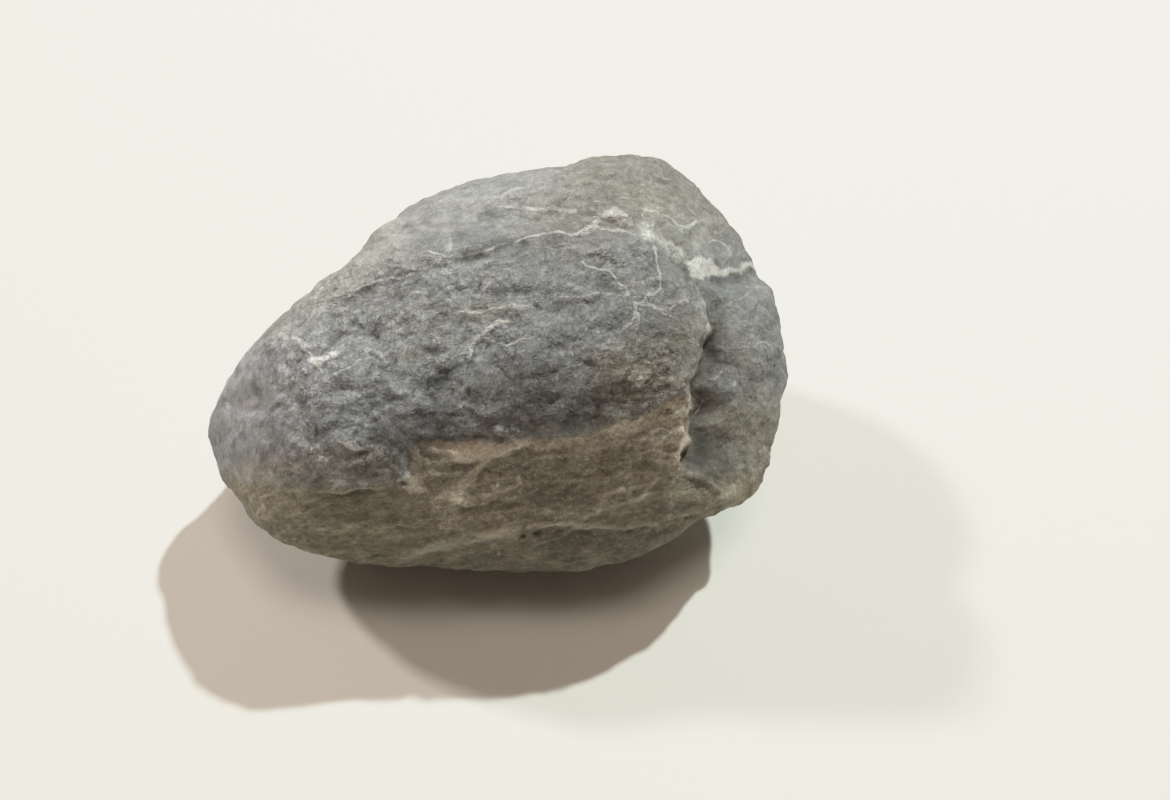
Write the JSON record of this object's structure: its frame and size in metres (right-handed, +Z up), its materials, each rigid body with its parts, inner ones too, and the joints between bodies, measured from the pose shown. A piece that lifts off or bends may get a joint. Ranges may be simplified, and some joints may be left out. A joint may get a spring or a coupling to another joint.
{
  "type": "river pebble",
  "caption": "Hand-sized grey limestone river pebble: worn, lumpy, layered, with a broken ledge near its thick end. Rests on a small worn flat.",
  "frame": {"origin": "on the surface that the pebble rests on, under the middle of its box", "axes": "+Z up; +X along the stone's length, from the narrow end to the thick end with the ledge; -Y the side that the broad face leans down to"},
  "size_m": [0.0786, 0.0578, 0.0496],
  "materials": {
    "grey_limestone": "dry matt blue-grey limestone with thin white calcite veins, and a tan patch on the front where a layer has broken off"
  },
  "bodies": {
    "root": {"pebble": "grey_limestone"}
  },
  "joints": []
}
